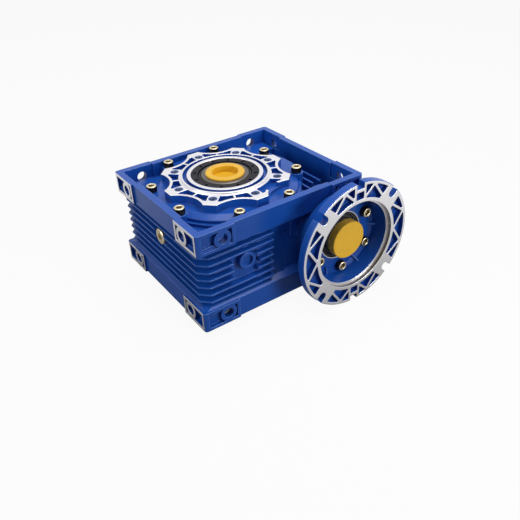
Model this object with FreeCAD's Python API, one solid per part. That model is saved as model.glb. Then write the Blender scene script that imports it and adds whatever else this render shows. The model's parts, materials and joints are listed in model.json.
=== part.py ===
import FreeCAD, Part
import math
import os

# Worm gear reducer with a hollow output shaft and a motor flange.
# The origin is on the output axis at mid-width. Z is the output axis, the worm
# lies along Y at x = CENTRE_DISTANCE, and the motor flange faces -Y.

V = FreeCAD.Vector
X = V(1, 0, 0)
Y = V(0, 1, 0)
Z = V(0, 0, 1)
ORIGIN = V(0, 0, 0)

# Gear pair: a single-start right-hand worm and a throated wheel
CENTRE_DISTANCE = 90.0
GEAR_RATIO = 30
WHEEL_PITCH_RADIUS = 72.0
WHEEL_WIDTH = 31.0
WHEEL_OUTER_RADIUS = 79.2
RIM_INNER_RADIUS = 58.0
PRESSURE_ANGLE = 20.0
FLANK_CLEARANCE = 0.4
TIP_CLEARANCE = 0.9
CUTTER_OVERRUN = 0.6
THREAD_TURNS = 4
SPACE_SECTIONS = 5

# Mounting frames of the casing
HALF_WIDTH = 103.0
BASE_HEIGHT = 103.0
TOP_HEIGHT = 135.0
FRAME_HALF_HEIGHT = 65.0
FRAME_DEPTH = 26.5
FRAME_WALL = 8.5
FRAME_CORNER_RADIUS = 4.0
BLOCK_LENGTH = 49.0
BLOCK_STEP = 2.5
FOOT_HOLE_RADIUS = 6.5
FOOT_HOLE_INSET = 33.0
FOOT_HOLE_HEIGHT = 51.0
FOOT_RING_RADIUS = 10.8
WINDOW_DEPTH = 5.5
WINDOW_BORDER = 3.8
WINDOW_CORNER_BORDER = 6.2
FLOOR_THICKNESS = 7.5

# Body between the frames
BODY_INSET = 12.0
BODY_CHAMFER = 12.0
DRUM_RADIUS = 94.0
DRUM_TOP = 50.0
CAVITY_RADIUS = 86.0
CAVITY_HALF_HEIGHT = 33.0
WORM_SPACE_RADIUS = 25.5
WORM_TUBE_RADIUS = 31.5
FRONT_TUBE_RADIUS = 49.5
REAR_TUBE_RADIUS = 40.0
TUBE_END_LENGTH = 36.0

# Cooling fins
FIN_PITCH = 10.0
FIN_REACH = 8.0
FIN_TIP = 1.8
FIN_ROOT = 4.6
FIN_END = 0.0

# Deep well between the drum and the worm side, with upright ribs over the worm
WELL_START = 60.0
WELL_HALF_WIDTH = 67.0
WELL_FLOOR = 8.0
RIB_COUNT = 4
RIB_PITCH = 12.0
FIRST_RIB_X = 108.0
RIB_TOP = 46.0
RIB_THICKNESS = 2.4
OUTER_RIB_HALF_LENGTH = 54.0

# Blind boss on the front face
BOSS_X = -37.0
BOSS_Z = 7.0
BOSS_RADIUS = 11.3
BOSS_DISH_RADIUS = 7.2
BOSS_RECESS_EDGE = -56.0

# Output flange on both sides, and the removable cover
COVER_THICKNESS = 8.0
COVER_RADIUS = 97.5
BEVEL_TOP_RADIUS = 82.0
BEVEL_FOOT_RADIUS = 90.0
BEVEL_HEIGHT = 4.5
COVER_WALL_GAP = 0.6
EAR_RADIUS = 8.6
COVER_SCREW_CIRCLE = 91.2
COVER_SCREW_COUNT = 8
FLANGE_FACE = 68.0
PETAL_COUNT = 8
PETAL_RADIUS = 80.6
VALLEY_RADIUS = 68.4
VALLEY_ARC = 35.0
OUTPUT_BOLT_CIRCLE = 65.0
OUTPUT_THREAD_RADIUS = 4.25
OUTPUT_THREAD_DEPTH = 18.0
PETAL_WEB = 3.4
PETAL_BOSS_HALF_WIDTH = 6.8
PETAL_RIB = 2.4
PETAL_WINDOW_DEPTH = 6.0
PETAL_WINDOW_INNER = 57.7
PETAL_WINDOW_OUTER = 71.0
SPIGOT_RADIUS = 55.0
SPIGOT_HEIGHT = 2.5
GROOVE_OUTER = 52.5
GROOVE_INNER = 47.3
GROOVE_DEPTH = 5.0
NOTCH_ANGLE = -67.5
NOTCH_HALF_ANGLE = 9.5
COVER_SPIGOT_LENGTH = 7.0
COVER_SPIGOT_WALL = 5.0

# Hollow output shaft
SHAFT_RADIUS = 30.0
SHAFT_HALF_LENGTH = 70.0
BORE_RADIUS = 17.5
BORE_KEY_WIDTH = 10.0
BORE_KEY_HEIGHT = 20.8
RELIEF_RADIUS = 18.2
RELIEF_DEPTH = 9.0
HUB_SHOULDER_RADIUS = 35.0
HUB_WEB_HALF = 13.0

# Rolling bearings: bore radius, outer radius, width, ball radius and count
OUTPUT_BEARING = dict(bore=30.0, outer=47.5, width=18.0, ball=5.5, count=14)
FRONT_BEARING = dict(bore=22.5, outer=37.5, width=16.0, ball=4.6, count=14)
REAR_BEARING = dict(bore=15.0, outer=31.0, width=16.0, ball=4.7, count=10)
BALL_CLEARANCE = 0.12
BEARING_END_GAP = 0.2

# Worm shaft
WORM_FRONT_END = 129.0
FRONT_BEARING_FACE = 96.0
REAR_BEARING_FACE = 72.0
WORM_COLLAR_RADIUS = 27.0
WORM_COLLAR_LENGTH = 6.0
WORM_BODY_RADIUS = 17.0
INPUT_BORE_RADIUS = 11.1125
INPUT_BORE_DEPTH = 60.0
INPUT_KEY_WIDTH = 4.8
INPUT_KEY_HEIGHT = 13.5

# Motor flange
FLANGE_FRONT = 145.0
FLANGE_RADIUS = 82.55
FLANGE_RIM = 9.5
PILOT_RADIUS = 57.15
PILOT_DEPTH = 6.0
DISH_STEP_RADIUS = 54.5
DISH_FLOOR = 115.0
DISH_FLOOR_RADIUS = 51.5
DISH_RIB_COUNT = 6
DISH_RIB_INNER = 42.5
DISH_RIB_HEIGHT = 10.0
DISH_RIB_THICKNESS = 2.2
FLANGE_BACK_RADIUS = 53.0
SLOT_CIRCLE = 74.6
SLOT_WIDTH = 10.6
TRUSS_INNER = 61.5
TRUSS_OUTER = 78.6
TRUSS_RIB = 2.9
TRUSS_DEPTH = 6.5
POCKET_CORNER = 1.1
PAD_ANGLE = 12.0
NOTCH_SLOT_WIDTH = 11.7
NOTCH_SLOT_FLOOR = 75.0
NOTCH_POCKET_OUTER = 71.0
FLANGE_SCREW_CIRCLE = 43.0
FLANGE_SCREW_COUNT = 6

# Shaft seals: outer radius and width
OUTPUT_SEAL_RADIUS = 42.5
OUTPUT_SEAL_WIDTH = 8.0
INPUT_SEAL_RADIUS = 31.0
INPUT_SEAL_WIDTH = 8.0
INPUT_SEAL_FACE = 113.0
SEAL_LIP_GAP = 0.3
SEAL_FIT = 0.02

# Fits and screws
SPIGOT_FIT = 0.08
BEARING_FIT = 0.02
SCREW_GAP = 0.5
THREAD_GAP = 0.05
O_RING_RADIUS = 1.2
O_RING_GAP = 0.1
COVER_SCREW = dict(radius=4.0, head=6.5, height=8.0, socket=3.0, length=20.0)
FLANGE_SCREW = dict(radius=4.0, head=6.5, height=8.0, socket=3.0, length=25.0)

# Oil plug on the base face
PLUG_HEIGHT = 15.0
PLUG_FLANGE_RADIUS = 10.0
PLUG_FLANGE_THICKNESS = 3.2
PLUG_THREAD_RADIUS = 6.8
PLUG_THREAD_LENGTH = 9.0
PLUG_SOCKET = 4.0
PLUG_SEAT_DEPTH = 5.5
WASHER_THICKNESS = 1.5

# End cap and circlip behind the rear worm bearing
END_CAP_THICKNESS = 6.0
END_CAP_RIM = 3.0
CIRCLIP_THICKNESS = 2.0
CIRCLIP_GROOVE = 1.5
REAR_TUBE_END = 98.0

# Yellow protective caps
OUTPUT_CAP_RADIUS = 24.3
OUTPUT_CAP_HEIGHT = 1.9
OUTPUT_CAP_WALL = 1.8
INPUT_CAP_WALL = 1.9
INPUT_CAP_LENGTH = 8.5
CAP_GAP = 0.15

# Values that follow from the sizes above
axial_pitch = 2 * math.pi * WHEEL_PITCH_RADIUS / GEAR_RATIO
module = axial_pitch / math.pi
worm_pitch_radius = CENTRE_DISTANCE - WHEEL_PITCH_RADIUS
worm_tip_radius = worm_pitch_radius + module
worm_root_radius = worm_pitch_radius - module - TIP_CLEARANCE
wheel_tip_radius = WHEEL_PITCH_RADIUS + module
frame_bottom = FRAME_HALF_HEIGHT - FRAME_DEPTH
cover_top = DRUM_TOP + COVER_THICKNESS
spigot_face = FLANGE_FACE + SPIGOT_HEIGHT
tan_pressure = math.tan(math.radians(PRESSURE_ANGLE))


def polar(radius, degrees, z=0.0):
    """Point at a radius and an angle about the Z axis."""
    a = math.radians(degrees)
    return V(radius * math.cos(a), radius * math.sin(a), z)


def box(x0, x1, y0, y1, z0, z1):
    """Block between two corners."""
    return Part.makeBox(x1 - x0, y1 - y0, z1 - z0, V(x0, y0, z0))


def prism(points, z0, z1):
    """Polygon given in X and Y, raised from z0 to z1."""
    wire = Part.makePolygon([V(p[0], p[1], z0) for p in points] + [V(points[0][0], points[0][1], z0)])
    return Part.Face(wire).extrude(V(0, 0, z1 - z0))


def disc(radius, z0, z1, centre=ORIGIN):
    """Upright cylinder between two heights."""
    return Part.makeCylinder(radius, z1 - z0, V(centre.x, centre.y, z0))


def turned(profile):
    """Solid of revolution about Z from points (radius, z)."""
    points = [V(r, 0, z) for r, z in profile]
    return Part.Face(Part.makePolygon(points + points[:1])).revolve(ORIGIN, Z, 360)


def rod(radius, y0, y1, x, z):
    """Cylinder along Y between two stations."""
    return Part.makeCylinder(radius, y1 - y0, V(x, y0, z), Y)


def on_worm(shape):
    """Carry a shape made about Z onto the worm axis, so that its +Z points to +Y and its +X to -X."""
    moved = shape.copy()
    moved.rotate(ORIGIN, X, -90)
    moved.rotate(ORIGIN, Y, 180)
    moved.translate(V(CENTRE_DISTANCE, 0, 0))
    return moved


def spun(shape, count, first=0.0):
    """Copies of a shape spaced evenly about Z."""
    copies = []
    for i in range(count):
        piece = shape.copy()
        piece.rotate(ORIGIN, Z, first + 360.0 * i / count)
        copies.append(piece)
    return copies


def flipped(shape):
    """Mirror image below the mid-plane."""
    return shape.mirror(ORIGIN, Z)


def cut(shape, tools):
    """Remove several tools from a shape in one step."""
    return shape.cut(tools) if isinstance(tools, Part.Shape) else shape.cut(list(tools))


def join(shapes):
    """Join shapes into one and drop the seams."""
    return shapes[0].fuse(shapes[1:]).removeSplitter()


def save(node, shape):
    """Write one node; several separate solids stay a compound."""
    solids = shape.Solids
    result = solids[0] if len(solids) == 1 else Part.Compound(solids)
    result.exportStep("parts/%s.step" % node)
    print(node, len(solids), "solid(s)", round(result.Volume, 1), "mm3")


def hexagon(apothem, z0, z1):
    """Hexagonal prism for a screw's socket."""
    corner = apothem / math.cos(math.pi / 6)
    return prism([polar(corner, 60 * i) for i in range(6)], z0, z1)


def socket_screw(size):
    """Socket head screw, seat at z = 0, head upwards."""
    head = disc(size["head"], 0, size["height"])
    rim = [e for e in head.Edges if abs(e.CenterOfMass.z - size["height"]) < 1e-6 and len(e.Vertexes) == 1]
    head = head.makeChamfer(0.5, rim)
    shank = disc(size["radius"], -size["length"], 0)
    socket = hexagon(size["socket"], size["height"] * 0.45, size["height"] + 1)
    return cut(join([head, shank]), socket)


def bearing(size):
    """Deep-groove ball bearing from z = 0 to its width: inner ring, outer ring, balls, cage."""
    bore, outer, width = size["bore"], size["outer"], size["width"]
    ball = size["ball"]
    pitch = (bore + outer) / 2
    land = ball * 0.45
    inner = turned([(bore, 0), (pitch - land, 0), (pitch - land, width), (bore, width)])
    outer_ring = turned([(pitch + land, 0), (outer, 0), (outer, width), (pitch + land, width)])
    track = Part.makeTorus(pitch, ball + BALL_CLEARANCE, V(0, 0, width / 2))
    inner = cut(inner, track)
    outer_ring = cut(outer_ring, track)
    one_ball = Part.makeSphere(ball, V(pitch, 0, width / 2))
    pocket = Part.makeCylinder(ball + BALL_CLEARANCE, 2 * ball, V(pitch - ball, 0, width / 2), X)
    half = ball + 1.2
    thin = land - 0.7
    strip = [(pitch - thin, width / 2 - half), (pitch + thin, width / 2 - half)]
    strip += [(pitch + thin, width / 2 + half), (pitch - thin, width / 2 + half)]
    first = 180.0 / size["count"]
    cage = cut(turned(strip), spun(pocket, size["count"], first))
    balls = Part.Compound(spun(one_ball, size["count"], first))
    return inner, outer_ring, balls, cage


def seal(outer, shaft, width):
    """Radial shaft seal, open spring side at z = 0 and flat face at z = width."""
    lip = shaft + SEAL_LIP_GAP
    profile = [(outer, 0), (outer, width - 0.6), (outer - 0.6, width), (lip + 5, width)]
    profile += [(lip + 3.4, width - 1.2), (lip + 0.8, width - 0.6), (lip, width - 1.6)]
    profile += [(lip + 1.2, width - 3), (lip, width * 0.35), (lip + 2.2, width * 0.1)]
    profile += [(lip + 4, width * 0.35), (lip + 4, width - 2.6), (outer - 2, width - 2.6), (outer - 2, 0)]
    return turned(profile)


def ring(radius):
    """O-ring about Z at z = 0."""
    return Part.makeTorus(radius, O_RING_RADIUS)


def frame():
    """Upper mounting frame with four corner blocks on its outer faces."""
    z0, z1 = frame_bottom, FRAME_HALF_HEIGHT
    x0, x1, w = -BASE_HEIGHT, TOP_HEIGHT, HALF_WIDTH
    far = 50.0
    rim = box(x0, x1, -w, w, z0, z1)
    upright = [e for e in rim.Edges if abs(e.tangentAt(e.FirstParameter).z) > 0.99]
    rim = rim.makeFillet(FRAME_CORNER_RADIUS, upright)
    bx0, bx1, bw = x0 + BLOCK_LENGTH, x1 - BLOCK_LENGTH, w - BLOCK_LENGTH
    bands = [box(x0 - far, x0 + BLOCK_STEP, -bw, bw, z0, z1)]
    bands.append(box(x1 - BLOCK_STEP, x1 + far, -bw, bw, z0, z1))
    bands.append(box(bx0, bx1, w - BLOCK_STEP, w + far, z0, z1))
    bands.append(box(bx0, bx1, -w - far, -w + BLOCK_STEP, z0, z1))
    t, s = FRAME_WALL, FRAME_WALL + BLOCK_STEP
    opening = box(x0 + t, x1 - t, -w + t, w - t, z0, z1)
    steps = [box(x0 + t, x0 + s, -bw, bw, z0, z1), box(x1 - s, x1 - t, -bw, bw, z0, z1)]
    steps.append(box(bx0, bx1, w - s, w - t, z0, z1))
    steps.append(box(bx0, bx1, -w + t, -w + s, z0, z1))
    opening = cut(opening, steps)
    return cut(rim, bands + [opening] + block_windows())


def foot_stations():
    """Centre, outward direction and sense of each corner block face of the upper frame."""
    near, far = -BASE_HEIGHT + FOOT_HOLE_INSET, TOP_HEIGHT - FOOT_HOLE_INSET
    side = HALF_WIDTH - FOOT_HOLE_INSET
    stations = []
    for s in (-1, 1):
        stations.append((V(-BASE_HEIGHT, s * side, 0), -X, V(0, s, 0)))
        stations.append((V(TOP_HEIGHT, s * side, 0), X, V(0, s, 0)))
        stations.append((V(near, s * HALF_WIDTH, 0), V(0, s, 0), -X))
        stations.append((V(far, s * HALF_WIDTH, 0), V(0, s, 0), X))
    return stations


def block_windows():
    """Shallow windows on the corner blocks, each split in two by the ring round the hole."""
    tools = []
    z0, z1 = frame_bottom + WINDOW_BORDER, FRAME_HALF_HEIGHT - WINDOW_BORDER
    for centre, out, corner in foot_stations():
        a = centre + corner * (FOOT_HOLE_INSET - WINDOW_CORNER_BORDER)
        b = centre - corner * (BLOCK_LENGTH - FOOT_HOLE_INSET - WINDOW_BORDER)
        points = [V(a.x, a.y, z0), V(b.x, b.y, z0), V(b.x, b.y, z1), V(a.x, a.y, z1)]
        pane = Part.Face(Part.makePolygon(points + points[:1])).extrude(out * -WINDOW_DEPTH)
        eye = Part.makeCylinder(FOOT_RING_RADIUS, WINDOW_DEPTH, centre + Z * FOOT_HOLE_HEIGHT, out * -1)
        tools.append(pane.cut(eye))
    return tools


def foot_holes():
    """Mounting holes through the walls of the upper frame."""
    depth = FRAME_WALL + 1
    return [Part.makeCylinder(FOOT_HOLE_RADIUS, depth, c + Z * FOOT_HOLE_HEIGHT + out, out * -1)
            for c, out, corner in foot_stations()]


def corner_cut(x0, x1, half, chamfer):
    """Outline of the body: a rectangle with its two base corners cut off."""
    return [(x1, -half), (x0 + chamfer, -half), (x0, -half + chamfer), (x0, half - chamfer),
            (x0 + chamfer, half), (x1, half)]


def tapered(low, high, z0, z1):
    """Straight-sided loft between two outlines with the same number of corners."""
    wires = []
    for outline, z in ((low, z0), (high, z1)):
        points = [V(p[0], p[1], z) for p in outline]
        wires.append(Part.makePolygon(points + points[:1]))
    return Part.makeLoft(wires, True, True)


def fin(z):
    """Cooling fin round the base half of the body, drafted on both sides."""
    root = corner_cut(-BASE_HEIGHT + BODY_INSET, FIN_END, HALF_WIDTH - BODY_INSET, BODY_CHAMFER)
    reach = BODY_INSET - FIN_REACH
    tip = corner_cut(-BASE_HEIGHT + reach, FIN_END, HALF_WIDTH - reach, BODY_CHAMFER * 0.9)
    lower = tapered(root, tip, z - FIN_ROOT / 2, z - FIN_TIP / 2)
    upper = tapered(tip, root, z + FIN_TIP / 2, z + FIN_ROOT / 2)
    return [lower, prism(tip, z - FIN_TIP / 2, z + FIN_TIP / 2), upper]


def well_ribs():
    """Upright ribs that run along the worm; those beside the drum reach the ends of the well."""
    ribs = []
    for i in range(RIB_COUNT):
        x = FIRST_RIB_X - RIB_PITCH * i
        half = OUTER_RIB_HALF_LENGTH if x > DRUM_RADIUS else WELL_HALF_WIDTH + 1
        ribs.append(box(x - RIB_THICKNESS / 2, x + RIB_THICKNESS / 2, -half, half, -RIB_TOP, RIB_TOP))
    return ribs


def output_pad(notched):
    """Petal-shaped output flange with tapped holes, windows and the centring spigot, facing up."""
    z0, z1 = cover_top - 1, FLANGE_FACE
    flat = PETAL_RADIUS * math.cos(math.radians(5.5))
    corner = flat / math.cos(math.pi / PETAL_COUNT)
    half = 180.0 / PETAL_COUNT
    petals = prism([polar(corner, half + 2 * half * i) for i in range(PETAL_COUNT)], z0, z1)
    valley = disc(VALLEY_ARC, z0, z1, V(VALLEY_RADIUS + VALLEY_ARC, 0, 0))
    pad = cut(petals, spun(valley, PETAL_COUNT, half))
    floor = z1 - PETAL_WINDOW_DEPTH
    window = disc(PETAL_WINDOW_OUTER, floor, z1).cut(disc(PETAL_WINDOW_INNER, floor, z1))
    wide = disc(VALLEY_ARC + PETAL_WEB, floor, z1, V(VALLEY_RADIUS + VALLEY_ARC, 0, 0))
    keep = spun(wide, PETAL_COUNT, half)
    start, b, r = PETAL_WINDOW_INNER - 2, PETAL_BOSS_HALF_WIDTH, PETAL_RIB / 2
    keep += spun(box(start, PETAL_RADIUS, -b, b, floor, z1), PETAL_COUNT)
    keep += spun(box(start, PETAL_RADIUS, -r, r, floor, z1), PETAL_COUNT, half)
    tools = [window.cut(keep)]
    thread = disc(OUTPUT_THREAD_RADIUS, z1 - OUTPUT_THREAD_DEPTH, z1 + 1, V(OUTPUT_BOLT_CIRCLE, 0, 0))
    if notched:
        a, b = NOTCH_ANGLE - NOTCH_HALF_ANGLE, NOTCH_ANGLE + NOTCH_HALF_ANGLE
        wedge = prism([polar(PETAL_WINDOW_INNER, a), polar(PETAL_RADIUS, a), polar(PETAL_RADIUS, b),
                       polar(PETAL_WINDOW_INNER, b)], floor, z1)
        tools.append(wedge.cut(disc(PETAL_WINDOW_INNER, floor, z1)))
    pad = cut(pad, tools)
    pad = join([pad, disc(SPIGOT_RADIUS, z1 - 1, spigot_face)])
    groove = disc(GROOVE_OUTER, spigot_face - GROOVE_DEPTH, spigot_face + 1)
    groove = groove.cut(disc(GROOVE_INNER, spigot_face - GROOVE_DEPTH, spigot_face + 1))
    return pad.cut(groove), spun(thread, PETAL_COUNT)


def output_bores():
    """Space for the upper bearing and seal, taken out of the cover or the housing."""
    seat = OUTPUT_BEARING["outer"] + BEARING_FIT
    shoulder = CAVITY_HALF_HEIGHT + OUTPUT_BEARING["width"] + BEARING_END_GAP
    seal_seat = SHAFT_HALF_LENGTH - 0.5 - OUTPUT_SEAL_WIDTH
    return [disc(seat, 0, shoulder), disc(SHAFT_RADIUS + 6, 0, spigot_face + 1),
            disc(OUTPUT_SEAL_RADIUS + SEAL_FIT, seal_seat, spigot_face + 1)]


def bevelled_plate(z0, z1):
    """Round plate whose upper edge slopes away at the four diagonals."""
    far, half = COVER_RADIUS + 5, 180.0 / COVER_SCREW_COUNT
    slope = turned([(BEVEL_TOP_RADIUS, z1), (BEVEL_FOOT_RADIUS, z1 - BEVEL_HEIGHT), (BEVEL_FOOT_RADIUS, z0),
                    (far, z0), (far, z1)])
    sector = prism([ORIGIN, polar(2 * far, -half), polar(2 * far, half)], z0, z1)
    return cut(disc(COVER_RADIUS, z0, z1), spun(slope.common(sector), 4, 45))


def inside_frame(z0, z1, gap):
    """Space inside a frame's walls, less a gap."""
    t = FRAME_WALL + BLOCK_STEP + gap
    return box(-BASE_HEIGHT + t, TOP_HEIGHT - t, -HALF_WIDTH + t, HALF_WIDTH - t, z0, z1)


def cover():
    """Removable output cover with its locating spigot and bearing boss."""
    ears = spun(disc(EAR_RADIUS, DRUM_TOP, cover_top, V(COVER_SCREW_CIRCLE, 0, 0)), COVER_SCREW_COUNT, 22.5)
    plate = join([bevelled_plate(DRUM_TOP, cover_top)] + ears)
    plate = plate.common(inside_frame(DRUM_TOP, cover_top, COVER_WALL_GAP))
    pad, threads = output_pad(True)
    spigot = disc(CAVITY_RADIUS - SPIGOT_FIT, DRUM_TOP - COVER_SPIGOT_LENGTH, DRUM_TOP + 1)
    inner = CAVITY_RADIUS - COVER_SPIGOT_WALL
    spigot = spigot.cut(disc(inner, DRUM_TOP - COVER_SPIGOT_LENGTH, DRUM_TOP))
    boss = disc(OUTPUT_BEARING["outer"] + 8, CAVITY_HALF_HEIGHT, DRUM_TOP + 1)
    solid = join([plate, pad, spigot, boss])
    tools = output_bores() + threads + [o_ring_groove()]
    hole = disc(COVER_SCREW["radius"] + SCREW_GAP, DRUM_TOP - 1, cover_top + 1, V(COVER_SCREW_CIRCLE, 0, 0))
    tools += spun(hole, COVER_SCREW_COUNT, 22.5)
    return cut(solid, tools)


def o_ring_groove():
    """Groove round the cover's spigot."""
    z = DRUM_TOP - COVER_SPIGOT_LENGTH / 2
    deep = 2 * O_RING_RADIUS + O_RING_GAP
    h = O_RING_RADIUS + 0.3
    r = CAVITY_RADIUS - SPIGOT_FIT
    return turned([(r - deep, z - h), (r + 1, z - h), (r + 1, z + h), (r - deep, z + h)])


def housing():
    """Die-cast housing with two frames, fins, drum, worm tube and the lower output flange."""
    fb = frame_bottom
    inner_half = HALF_WIDTH - BODY_INSET
    base = -BASE_HEIGHT + BODY_INSET
    end_x = TOP_HEIGHT - FRAME_WALL - BLOCK_STEP + 1
    body = prism(corner_cut(base, TOP_HEIGHT - BLOCK_STEP, inner_half, BODY_CHAMFER), -fb, fb)
    shelf_low = corner_cut(base, end_x, inner_half, BODY_CHAMFER)
    band = HALF_WIDTH - BLOCK_STEP
    shelf_high = corner_cut(-BASE_HEIGHT + BLOCK_STEP, end_x, band, FRAME_CORNER_RADIUS)
    shelf = tapered(shelf_low, shelf_high, fb - 5.5, fb)
    floor = prism(shelf_high, fb, fb + FLOOR_THICKNESS)
    gap_x = TOP_HEIGHT - FRAME_WALL - BLOCK_STEP
    well = box(WELL_START, gap_x, -WELL_HALF_WIDTH, WELL_HALF_WIDTH, WELL_FLOOR, fb + FLOOR_THICKNESS + 1)
    top = join([frame(), shelf.cut(well), floor.cut(well)])
    parts = [body.cut([well, flipped(well)]), top, flipped(top)] + well_ribs()
    for i in range(-3, 4):
        parts += fin(i * FIN_PITCH)
    drum = disc(DRUM_RADIUS, -DRUM_TOP, DRUM_TOP)
    ear = disc(EAR_RADIUS, DRUM_TOP - 40, DRUM_TOP, V(COVER_SCREW_CIRCLE, 0, 0))
    ears = spun(ear, COVER_SCREW_COUNT, 22.5)
    drum = join([drum] + ears).common(inside_frame(-DRUM_TOP, DRUM_TOP, -0.5))
    parts.append(drum)
    parts.append(flipped(bevelled_plate(DRUM_TOP - 1, cover_top).common(inside_frame(0, cover_top, -0.5))))
    parts.append(rod(WORM_TUBE_RADIUS, -HALF_WIDTH + 4, REAR_TUBE_END, CENTRE_DISTANCE, 0))
    front = rod(FRONT_TUBE_RADIUS, -HALF_WIDTH, -HALF_WIDTH + TUBE_END_LENGTH, CENTRE_DISTANCE, 0)
    reach = TOP_HEIGHT - BLOCK_STEP - CENTRE_DISTANCE
    parts.append(front.common(box(0, CENTRE_DISTANCE + reach, -HALF_WIDTH, HALF_WIDTH, -fb - 20, fb + 20)))
    parts.append(rod(REAR_TUBE_RADIUS, REAR_TUBE_END - TUBE_END_LENGTH, REAR_TUBE_END, CENTRE_DISTANCE, 0))
    solid = parts[0].fuse(parts[1:])
    pad, threads = output_pad(False)
    solid = cut(solid, front_recess() + plug_recess())
    solid = solid.fuse([flipped(pad), front_boss(), plug_boss()])
    tools = foot_holes() + [flipped(h) for h in foot_holes()]
    tools += [flipped(t) for t in threads] + [flipped(b) for b in output_bores()]
    tools += housing_cavity()
    return cut(solid, tools).removeSplitter()


def front_recess():
    """Room round the blind boss on the front face."""
    y0, y1 = -HALF_WIDTH, -HALF_WIDTH + BODY_INSET
    edge = 1.5 * FIN_PITCH
    slab = box(BOSS_RECESS_EDGE, BOSS_X, y0, y1, -edge, edge)
    round_end = rod(edge + 2, y0, y1, BOSS_X, 0).common(box(BOSS_X, 0, y0, y1, -edge, edge))
    return [slab, round_end]


def front_boss():
    """Blind boss with a shallow dish."""
    y0 = -HALF_WIDTH + BODY_INSET - FIN_REACH
    boss = rod(BOSS_RADIUS, y0, -HALF_WIDTH + BODY_INSET + 1, BOSS_X, BOSS_Z)
    face = [e for e in boss.Edges if abs(e.CenterOfMass.y - y0) < 1e-6 and len(e.Vertexes) == 1]
    boss = boss.makeFillet(1.2, face)
    return boss.cut(rod(BOSS_DISH_RADIUS, y0 - 1, y0 + 4, BOSS_X, BOSS_Z))


def plug_recess():
    """Round clearance in the fins about the oil plug."""
    x0 = -BASE_HEIGHT
    return [Part.makeCylinder(PLUG_FLANGE_RADIUS + 2.5, BODY_INSET, V(x0, 0, PLUG_HEIGHT), X)]


def plug_boss():
    """Seat for the oil plug."""
    seat = -BASE_HEIGHT + BODY_INSET - PLUG_SEAT_DEPTH + 3
    return Part.makeCylinder(PLUG_FLANGE_RADIUS + 1.5, 15, V(seat, 0, PLUG_HEIGHT), X)


def housing_cavity():
    """Everything removed from the inside of the housing."""
    a = CENTRE_DISTANCE
    front, rear = FRONT_BEARING["outer"] + BEARING_FIT, REAR_BEARING["outer"] + BEARING_FIT
    front_stop = -FRONT_BEARING_FACE + FRONT_BEARING["width"] + BEARING_END_GAP
    tools = [disc(CAVITY_RADIUS, -CAVITY_HALF_HEIGHT, DRUM_TOP + 0.01)]
    tools.append(rod(WORM_SPACE_RADIUS, -HALF_WIDTH, REAR_BEARING_FACE, a, 0))
    tools.append(rod(WORM_COLLAR_RADIUS + 3, -HALF_WIDTH, front_stop + WORM_COLLAR_LENGTH + 2, a, 0))
    tools.append(rod(front, -HALF_WIDTH - 1, front_stop, a, 0))
    tools.append(rod(rear, REAR_BEARING_FACE - BEARING_END_GAP, REAR_TUBE_END + 1, a, 0))
    clip = REAR_BEARING_FACE + REAR_BEARING["width"] + BEARING_END_GAP
    tools.append(rod(rear + CIRCLIP_GROOVE, clip, clip + CIRCLIP_THICKNESS + 0.2, a, 0))
    thread = disc(COVER_SCREW["radius"] + THREAD_GAP, cover_top - COVER_SCREW["length"] - 2, DRUM_TOP + 1,
                  V(COVER_SCREW_CIRCLE, 0, 0))
    tools += spun(thread, COVER_SCREW_COUNT, 22.5)
    for x, z in flange_screw_points():
        tools.append(rod(FLANGE_SCREW["radius"] + THREAD_GAP, -HALF_WIDTH - 1,
                         -DISH_FLOOR + FLANGE_SCREW["length"] + 2, x, z))
    tools.append(Part.makeCylinder(PLUG_THREAD_RADIUS + THREAD_GAP, 40, V(-BASE_HEIGHT, 0, PLUG_HEIGHT), X))
    return tools


def flange_screw_points():
    """Centres of the flange screws in X and Z."""
    points = []
    for i in range(FLANGE_SCREW_COUNT):
        a = math.radians(30 + 360.0 * i / FLANGE_SCREW_COUNT)
        x, z = FLANGE_SCREW_CIRCLE * math.cos(a), FLANGE_SCREW_CIRCLE * math.sin(a)
        points.append((CENTRE_DISTANCE + x, z))
    return points


def truss_rib(a, b, z0, z1):
    """Straight rib between two points of the flange face, as a bar with round ends left off."""
    along = (b - a).normalize()
    side = V(-along.y, along.x, 0) * (TRUSS_RIB / 2)
    a, b = a - along * 2, b + along * 2
    return prism([a + side, b + side, b - side, a - side], z0, z1)


def rounded(pocket, z0, z1):
    """Pocket with its upright corners rounded, by shrinking its outline and growing it again."""
    floor = min(pocket.Faces, key=lambda face: face.BoundBox.ZMax)
    return floor.makeOffset2D(-POCKET_CORNER).makeOffset2D(POCKET_CORNER).extrude(V(0, 0, z1 - z0))


def dish_rib():
    """Low gusset in the corner of the dish, on the +X side."""
    low, high = DISH_FLOOR - 0.5, DISH_FLOOR + DISH_RIB_HEIGHT
    outer = DISH_FLOOR_RADIUS + 3
    points = [V(DISH_RIB_INNER, 0, low), V(outer, 0, low), V(outer, 0, high)]
    web = Part.Face(Part.makePolygon(points + points[:1]))
    web.translate(V(0, -DISH_RIB_THICKNESS / 2, 0))
    return web.extrude(V(0, DISH_RIB_THICKNESS, 0))


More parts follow.
